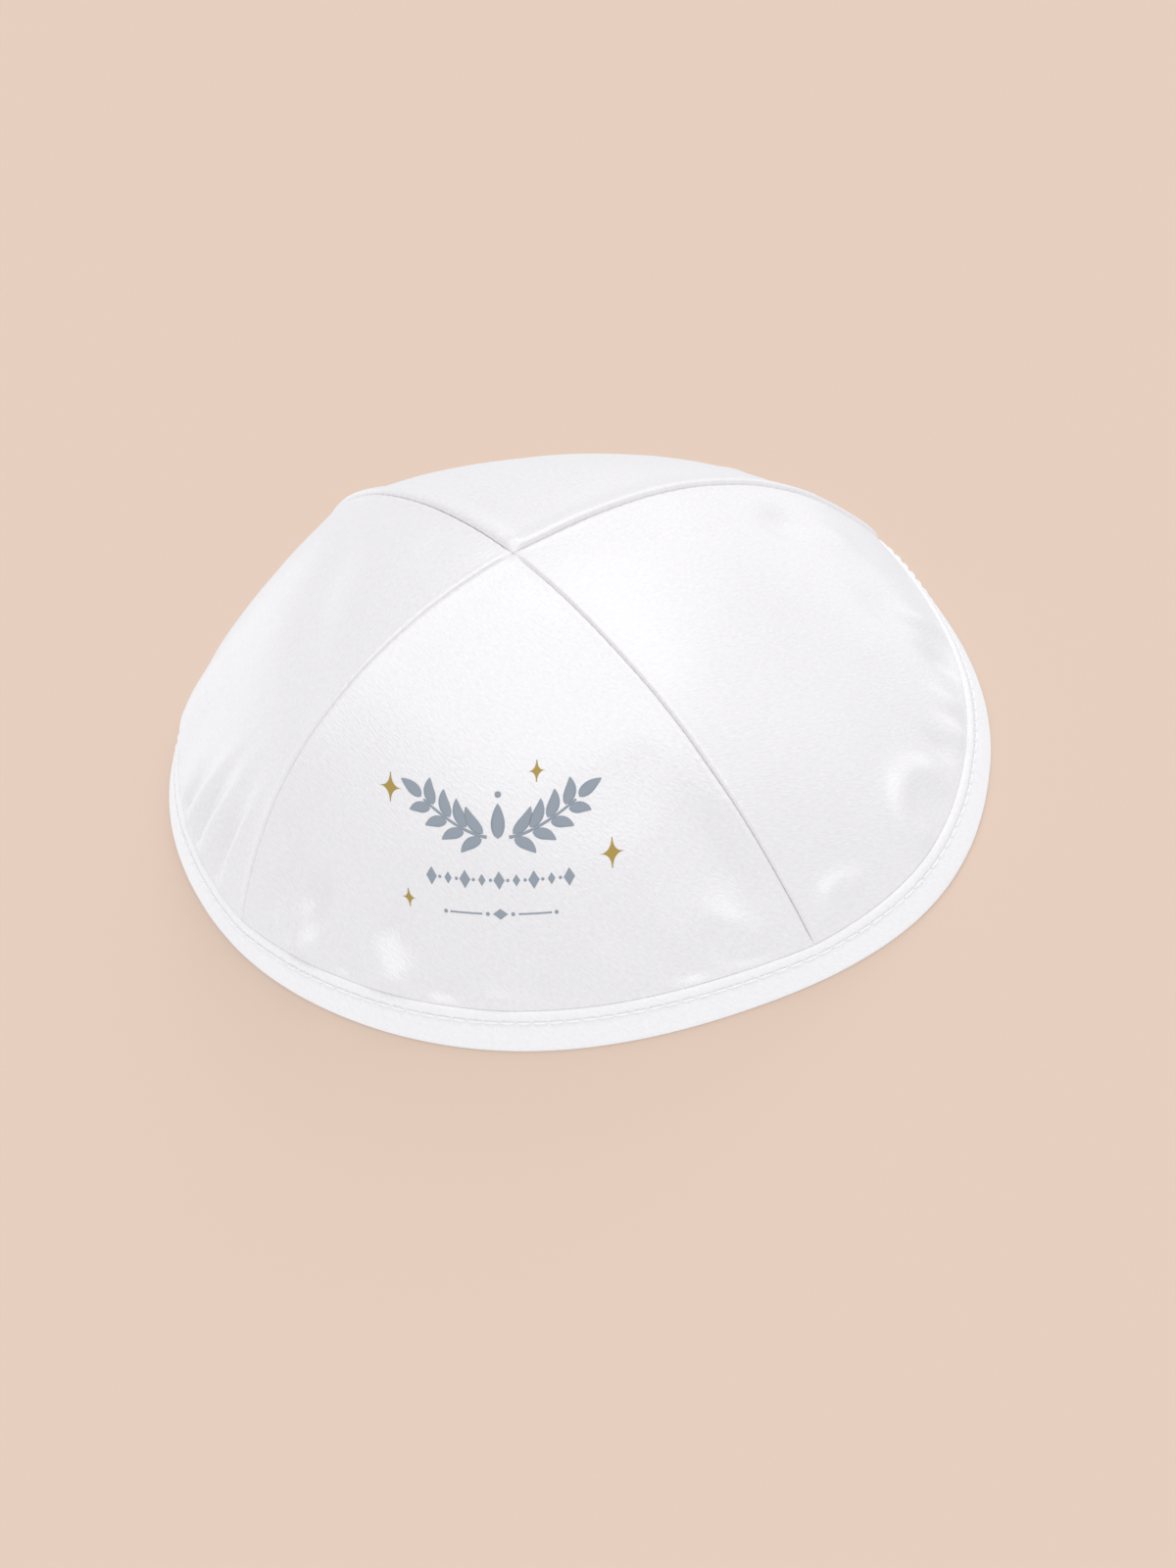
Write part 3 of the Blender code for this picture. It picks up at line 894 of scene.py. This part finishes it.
def bind_rim():
    """The folded satin tape round the rim, sewn through, and its two rows of stitches."""
    rise, lift = section_path()
    grid, outwards = band_grid(rise, lift)
    along = lengths_along(closed(grid[:, row_index(rise, lift, outer=True)]))
    stitches = round(along[-1] / BAND_STITCH)
    pitch = along[-1] / stitches

    # Only the two outer faces show, and the channel between them keeps its form
    leg_side = np.where((lift > -SINK) & (rise > FOLD_ROUND), 1.0, -1.0)
    shown = smooth_step((np.abs(lift + STACK / 2.0) - 0.3 * STACK) / (0.1 * STACK))
    relief = band_relief(grid, rise, along[:-1, None] / pitch) * shown * leg_side
    grid = grid + relief[..., None] * outwards
    grid[..., 2] = np.maximum(grid[..., 2], FLOOR_GAP)

    count, size = grid.shape[:2]
    points, quads, cloth = ring_mesh(grid, along)
    band = new_piece("satin_band", points, quads, cloth, (SATIN_TAPE,))
    store(band, "along", np.repeat(along[:-1] + pitch / 2.0, size))
    store(band, "beside", np.tile(rise - STITCH_RISE + UNSEWN * (1.0 - shown), count))
    pull = -outwards * leg_side[:, None]
    store(band, "pull", pull.reshape(-1, 3))
    band = run_tree(band, NEEDLE_HOLES, {"Pitch": pitch, "Depth": BAND_HOLE, "Reach": BAND_REACH})
    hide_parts("rim_band")

    pieces = [band]
    for name, outer in (("stitches_outside", True), ("stitches_inside", False)):
        pieces.append(sew_row(name, grid, outwards, rise, lift, outer, stitches, pitch))
    return pieces


def sew_row(name, grid, outwards, rise, lift, outer, stitches, pitch):
    """A row of thread stitches on one leg of the band."""
    column = row_index(rise, lift, outer)
    facing = outwards[:, column] * (1.0 if outer else -1.0)
    points = grid[:, column] + THREAD_LIFT * facing
    count = len(points)
    mesh = bpy.data.meshes.new(name)
    edges = [(k, (k + 1) % count) for k in range(count)]
    mesh.from_pydata(points.tolist(), edges, [])
    row = add_object(name, mesh)
    store(row, "outward", facing)
    values = {
        "Stitches": stitches,
        "Length": STITCH_SHOWN * pitch,
        "Thread": THREAD,
        "Arch": THREAD_ARCH,
        "Material": SEWING_THREAD,
    }
    row = run_tree(row, THREAD_STITCHES, values)
    return row


# Place of the print on the front panel: its middle lies this far right of the panel's middle line and
# this share of the way down. The print's own x runs right and its y up, in millimetres.
PRINT_RIGHT = 1.8 * MM
PRINT_DOWN = 0.615
FILM = 0.05 * MM  # thickness of the film above the cloth, and its depth in the weave
FILM_STEP = 0.7
FINE_END = 0.02  # half width left where a shape runs out
SPARKLE_END = 0.1
SPARKLE_CURVE = 0.52  # 1 would make a sparkle's sides straight, and less curves them in

# Sparkles: middle, width and height
SPARKLES = (
    ((-22.2, 9.5), 4.6, 6.0),
    ((7.5, 14.9), 3.0, 4.5),
    ((21.9, -3.5), 4.6, 6.2),
    ((-19.0, -12.3), 2.9, 3.7),
)

# Branch: start and run of its stem, its half width there and how much it thins, and the leaves: pairs,
# length at the root and how much shorter each pair is, width, and spread from the stem in degrees
STEM_START = (2.2, 1.7)
STEM_RUN = (12.9, 6.6)
STEM_HALF = 0.34
STEM_THINS = 0.1
LEAF_PAIRS = 4
LEAF_LENGTH = 6.4
LEAF_SHORTER = 0.3
LEAF_WIDTH = 2.3
LEAF_SPREAD = 46.0

# Row of lozenges, and the thin rule below it
ROW_LEVEL = -7.0
ROW_PITCH = 3.4
ROW_DOT = 0.62
LARGE_LOZENGE = 2.9
SMALL_LOZENGE = 1.9
RULE_LEVEL = -13.8
RULE_FROM = 3.6
RULE_TO = 10.0
RULE_THICKNESS = 0.34
RULE_DOT = 0.75


def on_front(places):
    """across and down on the front panel of places in the print, given in millimetres."""
    down = PRINT_DOWN - places[..., 1] * MM / SIDE_LENGTH
    across = (PRINT_RIGHT + places[..., 0] * MM) / half_width("front", down)
    return across, down


def ribbon(line, half_widths):
    """Grid of places on both sides of a line, as wide as half_widths say at each of its points."""
    line = np.asarray(line, float)
    step = np.gradient(line, axis=0)
    normal = np.stack([-step[:, 1], step[:, 0]], axis=-1)
    normal = normal / np.linalg.norm(normal, axis=-1, keepdims=True)
    columns = max(3, int(2.0 * max(half_widths) / FILM_STEP) + 2)
    spread = np.linspace(-1.0, 1.0, columns)
    return line[:, None] + normal[:, None] * (np.asarray(half_widths)[:, None] * spread)[..., None]


def leaf(root, heading, length, width, bend):
    """Leaf with a round belly and a drawn-out tip. Its midrib bends by a share of its length."""
    share = np.linspace(0.0, 1.0, 15)
    turn = math.radians(heading)
    x = share * length
    y = bend * length * np.sin(math.pi * share)
    line = np.stack([x * math.cos(turn) - y * math.sin(turn), x * math.sin(turn) + y * math.cos(turn)], -1)
    half_widths = width / 2.0 * np.sin(math.pi * share**0.75) ** 0.8 + FINE_END
    return ribbon(line + np.asarray(root), half_widths)


def sparkle(middle, width, height):
    """Four-point sparkle: its sides curve in between its points."""
    share = np.linspace(-1.0, 1.0, 33)
    share = np.sign(share) * share**2
    side = (1.0 - np.abs(share) ** SPARKLE_CURVE) ** (1.0 / SPARKLE_CURVE)
    half_widths = width / 2.0 * side + SPARKLE_END
    line = np.stack([0.0 * share, share * height / 2.0], axis=-1) + np.asarray(middle)
    return ribbon(line, half_widths)


def lozenge(middle, width, height):
    share = np.linspace(-1.0, 1.0, 9)
    line = np.stack([share * width / 2.0, 0.0 * share], axis=-1) + np.asarray(middle)
    return ribbon(line, height / 2.0 * (1.0 - np.abs(share)) + FINE_END)


def dot(middle, diameter):
    turn = np.linspace(0.0, math.pi, 11)
    line = np.stack([-np.cos(turn) * diameter / 2.0, 0.0 * turn], axis=-1) + np.asarray(middle)
    return ribbon(line, diameter / 2.0 * np.sin(turn) + FINE_END)


def bar(start, end, thickness):
    share = np.linspace(0.0, 1.0, max(4, int(math.dist(start, end) / FILM_STEP)))
    line = np.asarray(start) + share[:, None] * (np.asarray(end) - np.asarray(start))
    return ribbon(line, np.full(len(line), thickness / 2.0))


def press_print(name, shapes, material):
    """Presses flat shapes onto the front panel as one thin film, on top of the cloth's own relief."""
    all_points = []
    all_quads = []
    start = 0
    for shape in shapes:
        across, down = on_front(shape)
        lift = cloth_lift("front", across, down)
        top = lifted("front", across, down, lift + FILM)
        bottom = lifted("front", across, down, lift - FILM)
        points, quads, _, _ = wall_mesh(top, bottom, shape)
        all_points.append(points)
        all_quads.append(quads + start)
        start += len(points)
    piece = new_piece(name, np.concatenate(all_points), np.concatenate(all_quads), materials=(material,))
    return piece


def leafy_branches():
    """Two branches that sweep up from a bud in the middle, with leaves in pairs and one at each tip."""
    share = np.linspace(0.0, 1.0, 46)
    stem = np.stack([share, share**1.5], axis=-1) * STEM_RUN + STEM_START
    shapes = [ribbon(stem, STEM_HALF - STEM_THINS * share)]
    for k in range(LEAF_PAIRS):
        at = 3 + 12 * k
        root = stem[at]
        ahead = stem[at + 1] - stem[at - 1]
        heading = math.degrees(math.atan2(ahead[1], ahead[0]))
        length = LEAF_LENGTH - LEAF_SHORTER * k
        for side, size in ((1.0, 1.0), (-1.0, 0.8)):
            turn = math.radians(heading + 90.0 * side)
            off = root + 0.6 * np.array([math.cos(turn), math.sin(turn)])
            shapes.append(leaf(off, heading + LEAF_SPREAD * side, size * length, LEAF_WIDTH, -0.1 * side))
    shapes.append(leaf(stem[-1] + (0.6, 0.4), 36.0, 5.2, 2.5, 0.05))
    shapes += [shape[:, ::-1] * (-1.0, 1.0) for shape in shapes]
    shapes.append(leaf((0.0, 1.4), 90.0, 7.2, 2.7, 0.0))
    shapes.append(dot((0.0, 10.4), 1.3))
    return shapes


def lozenge_row():
    """A row of large and small lozenges in turn, with a dot between neighbours."""
    shapes = []
    for k in range(-4, 5):
        x = ROW_PITCH * k
        size = LARGE_LOZENGE if k % 2 == 0 else SMALL_LOZENGE
        shapes.append(lozenge((x, ROW_LEVEL), 0.75 * size, 1.25 * size))
        if k < 4:
            shapes.append(dot((x + ROW_PITCH / 2.0, ROW_LEVEL), ROW_DOT))
    return shapes


def thin_rule():
    """A thin rule, broken in its middle by a lozenge between two dots."""
    sides = (-1.0, 1.0)
    shapes = [
        bar((side * RULE_FROM, RULE_LEVEL), (side * RULE_TO, RULE_LEVEL), RULE_THICKNESS) for side in sides
    ]
    shapes += [dot((side * x, RULE_LEVEL), RULE_DOT) for side in sides for x in (2.5, 10.9)]
    shapes.append(lozenge((0.0, RULE_LEVEL), 2.9, 2.1))
    return shapes


# Floor: half its side, and its painted colour
FLOOR_HALF = 2.5
FLOOR_COLOUR = (0.749, 0.589, 0.487, 1.0)

# Camera: measured from the photograph
CAMERA_AZIMUTH = 14.17
CAMERA_HEIGHT = 39.17
CAMERA_ROLL = math.radians(-9.06)
CAMERA_DISTANCE = 1.5
LENS = 173.1
SENSOR = 36.0
LOOK_AT = Vector((-1.58 * MM, -0.24 * MM, 21.8 * MM))
FRAME_RIGHT = 5.93 * MM  # the frame's middle lies this far right of LOOK_AT and below it
FRAME_BELOW = 20.57 * MM

# Soft lamps: name, azimuth and height of their direction in degrees, strength, softness in degrees, and
# whether they show in the satin's sheen. The bounce lamps stand for light that a pale table throws up.
LAMPS = (
    ("lamp_main", 168.0, 81.0, 0.69, 76.0, True),
    ("lamp_core", 172.0, 42.0, 0.12, 40.0, True),
    ("lamp_far", 178.0, 26.0, 0.28, 28.0, False),
    ("lamp_low_back", 165.0, 8.0, 0.11, 40.0, True),
    ("lamp_front_right", 58.0, 43.0, 0.03, 30.0, True),
    ("lamp_right", 127.0, 31.0, 0.05, 30.0, True),
    ("lamp_low_left", -130.0, -16.0, 0.13, 38.0, True),
    ("bounce_left", -90.0, -12.0, 0.38, 60.0, False),
    ("bounce_front", 0.0, -10.0, 0.58, 60.0, False),
    ("bounce_right", 90.0, -12.0, 0.32, 60.0, False),
)
SKY = 0.748


def towards(azimuth, height):
    """Direction from the cap: azimuth from its front round to its right, and height, both in degrees."""
    turn = math.radians(azimuth)
    climb = math.radians(height)
    return Vector((math.sin(turn) * math.cos(climb), -math.cos(turn) * math.cos(climb), math.sin(climb)))


def add_floor():
    mesh = bpy.data.meshes.new("floor")
    corners = [(x * FLOOR_HALF, y * FLOOR_HALF, 0.0) for x, y in ((-1, -1), (1, -1), (1, 1), (-1, 1))]
    mesh.from_pydata(corners, [], [(0, 1, 2, 3)])
    material, _, _ = new_material(
        "floor_matt_paint", {"Roughness": 0.95, "Specular IOR Level": 0.0, "Base Color": FLOOR_COLOUR}
    )
    mesh.materials.append(material)
    floor = add_object("floor", mesh)
    floor.visible_diffuse = False
    floor.visible_glossy = False
    floor.visible_shadow = False


def add_camera():
    back = towards(CAMERA_AZIMUTH, CAMERA_HEIGHT)
    level_right = towards(CAMERA_AZIMUTH + 90.0, 0.0)
    turn = Matrix.Rotation(CAMERA_ROLL, 3, back)
    right = turn @ level_right
    up = turn @ back.cross(level_right)
    location = LOOK_AT + CAMERA_DISTANCE * back
    aim = LOOK_AT + FRAME_RIGHT * right - FRAME_BELOW * up
    back = (location - aim).normalized()
    right = up.cross(back).normalized()
    up = back.cross(right)
    camera = bpy.data.cameras.new("camera")
    camera.lens = LENS
    camera.sensor_width = SENSOR
    placed = add_object("camera", camera)
    placed.matrix_world = Matrix.Translation(location) @ Matrix((right, up, back)).transposed().to_4x4()
    bpy.context.scene.camera = placed


def add_lights():
    world = bpy.data.worlds.new("soft_room")
    world.use_nodes = True
    background = world.node_tree.nodes["Background"]
    background.inputs["Color"].default_value = (1.0, 1.0, 1.0, 1.0)
    background.inputs["Strength"].default_value = SKY
    bpy.context.scene.world = world
    for name, azimuth, height, strength, softness, in_sheen in LAMPS:
        lamp = bpy.data.lights.new(name, "SUN")
        lamp.energy = strength
        lamp.angle = math.radians(softness)
        placed = add_object(name, lamp)
        placed.visible_glossy = in_sheen
        placed.matrix_world = towards(azimuth, height).to_track_quat("Z", "Y").to_matrix().to_4x4()


def main():
    pieces = [sew_panel(panel) for panel in PANELS]
    pieces += bind_rim()
    pieces.append(press_print("print_branches", leafy_branches(), GREY_FILM))
    pieces.append(press_print("print_lozenges", lozenge_row(), GREY_FILM))
    pieces.append(press_print("print_rule", thin_rule(), GREY_FILM))
    sparkles = [sparkle(*values) for values in SPARKLES]
    pieces.append(press_print("print_sparkles", sparkles, GOLD_FILM))
    for piece in pieces:
        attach(piece, "root")
    add_floor()
    add_camera()
    add_lights()
    bpy.context.scene.view_settings.view_transform = "Standard"


main()
